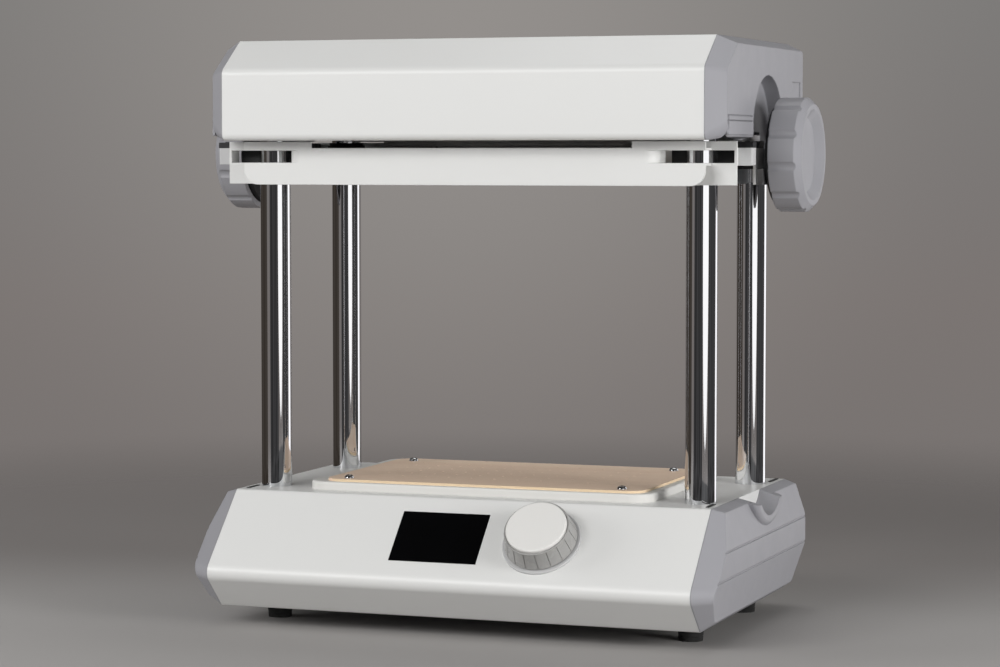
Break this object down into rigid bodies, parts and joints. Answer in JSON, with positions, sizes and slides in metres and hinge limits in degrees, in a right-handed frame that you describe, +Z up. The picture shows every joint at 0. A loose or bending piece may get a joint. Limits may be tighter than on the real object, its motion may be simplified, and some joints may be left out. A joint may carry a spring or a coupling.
{
  "type": "desktop vacuum former",
  "caption": "Desktop vacuum former: heater head on chrome posts, sliding sheet clamp with side knobs, suction bed, sloped panel with display and dial.",
  "frame": {"origin": "middle of the bounding box's footprint, on the surface that the feet stand on", "axes": "+X to the right seen from the front, +Y to the back, +Z up"},
  "size_m": [0.504, 0.3029, 0.4715],
  "materials": {
    "white_paint": "satin",
    "tray_paint": "satin",
    "grey_plastic": "satin",
    "light_grey_plastic": "satin",
    "bed_moulding": "satin",
    "dial_white": "matte",
    "dial_silver": "satin",
    "black_plastic": "satin",
    "chrome": "polished",
    "steel": "satin",
    "black_steel": "satin",
    "aluminium": "satin",
    "plywood": "matte",
    "rubber": "matte",
    "silicone": "matte",
    "display_glass": "gloss",
    "circuit_board": "matte",
    "fibre_mat": "matte",
    "heater_quartz": "gloss",
    "ceramic": "matte",
    "zinc_sheet": "satin"
  },
  "bodies": {
    "base": {"base_cover": "white_paint", "base_end_cap_left": "grey_plastic", "base_end_cap_right": "grey_plastic", "base_pan": "zinc_sheet", "rear_panel": "white_paint", "rubber_feet": "rubber", "foot_screws": "steel", "cap_clips": "black_steel", "post_grub_screws": "steel", "post_front_left": "chrome", "post_front_right": "chrome", "post_rear_left": "chrome", "post_rear_right": "chrome", "base_post_blocks": "aluminium", "bed_plinth": "bed_moulding", "platen_board": "plywood", "platen_screws": "chrome", "suction_spout": "black_plastic", "vacuum_hose": "silicone", "vacuum_motor_can": "steel", "motor_cradle": "rubber", "control_board": "circuit_board", "display_module": "black_plastic", "display_window": "display_glass", "encoder_body": "steel", "dial_seat": "light_grey_plastic", "power_supply": "zinc_sheet", "power_inlet": "black_plastic", "switch_frame": "black_plastic", "fan_frame": "black_plastic", "head_cover": "white_paint", "head_end_cap_left": "grey_plastic", "head_end_cap_right": "grey_plastic", "head_post_block_left": "aluminium", "head_post_block_right": "aluminium", "post_top_bolts": "steel", "heat_reflector": "aluminium", "insulation_mat": "fibre_mat", "heater_rods": "heater_quartz", "heater_holders": "ceramic", "catch_bar": "tray_paint"},
    "carriage": {"carriage_frame": "tray_paint", "post_bushings": "black_plastic", "bed_gasket": "silicone", "handle_brackets": "steel", "end_blocks": "light_grey_plastic", "keeper_plates": "black_steel"},
    "clamp": {"clamp_ring": "aluminium", "clamp_yokes": "steel"},
    "left_knob": {"knob_left": "grey_plastic", "crank_shaft_left": "black_steel"},
    "right_knob": {"knob_right": "grey_plastic", "crank_shaft_right": "black_steel"},
    "encoder": {"encoder_rotor": "black_plastic"},
    "dial": {"encoder_shaft": "steel", "dial_ring": "dial_silver", "dial_cap": "dial_white"},
    "cooling_fan": {"fan_rotor": "black_plastic"},
    "vacuum_rotor": {"vacuum_impeller": "aluminium"},
    "rocker": {"power_rocker": "black_plastic"}
  },
  "joints": [
    {"name": "carriage_travel", "type": "slide", "parent": "base", "child": "carriage", "axis": [0, 0, 1], "range_m": [-0.2474, 0]},
    {"name": "clamp_lift", "type": "slide", "parent": "carriage", "child": "clamp", "axis": [0, 0, 1], "range_m": [-0.0065, 0]},
    {"name": "right_knob_turn", "type": "hinge", "parent": "carriage", "child": "right_knob", "pos_m": [0.22, 0.0195, 0.3796], "axis": [-1, 0, 0], "range_deg": [0, 90]},
    {"name": "left_knob_turn", "type": "hinge", "parent": "carriage", "child": "left_knob", "pos_m": [-0.22, 0.0195, 0.3796], "axis": [-1, 0, 0], "range_deg": [0, 90]},
    {"name": "dial_turn", "type": "hinge", "parent": "base", "child": "encoder", "pos_m": [0.0725, -0.11943, 0.07953], "axis": [0, -0.7088, 0.7054], "continuous": true},
    {"name": "dial_press", "type": "slide", "parent": "encoder", "child": "dial", "axis": [0, -0.7088, 0.7054], "range_m": [-0.0008, 0], "stiffness_N_per_m": 2500, "springref_m": 0.0006},
    {"name": "cooling_fan_spin", "type": "hinge", "parent": "base", "child": "cooling_fan", "pos_m": [-0.105, 0.1155, 0.064], "axis": [0, 1, 0], "continuous": true},
    {"name": "vacuum_rotor_spin", "type": "hinge", "parent": "base", "child": "vacuum_rotor", "pos_m": [-0.07, 0.0195, 0.062], "axis": [1, 0, 0], "continuous": true},
    {"name": "power_rocker_tilt", "type": "hinge", "parent": "base", "child": "rocker", "pos_m": [0.06, 0.1225, 0.064], "axis": [1, 0, 0], "range_deg": [0, 20]}
  ],
  "couplings": [
    {"joint": "right_knob_turn", "follows": "clamp_lift", "rad_per_m": -241.66},
    {"joint": "left_knob_turn", "follows": "clamp_lift", "rad_per_m": -241.66}
  ]
}
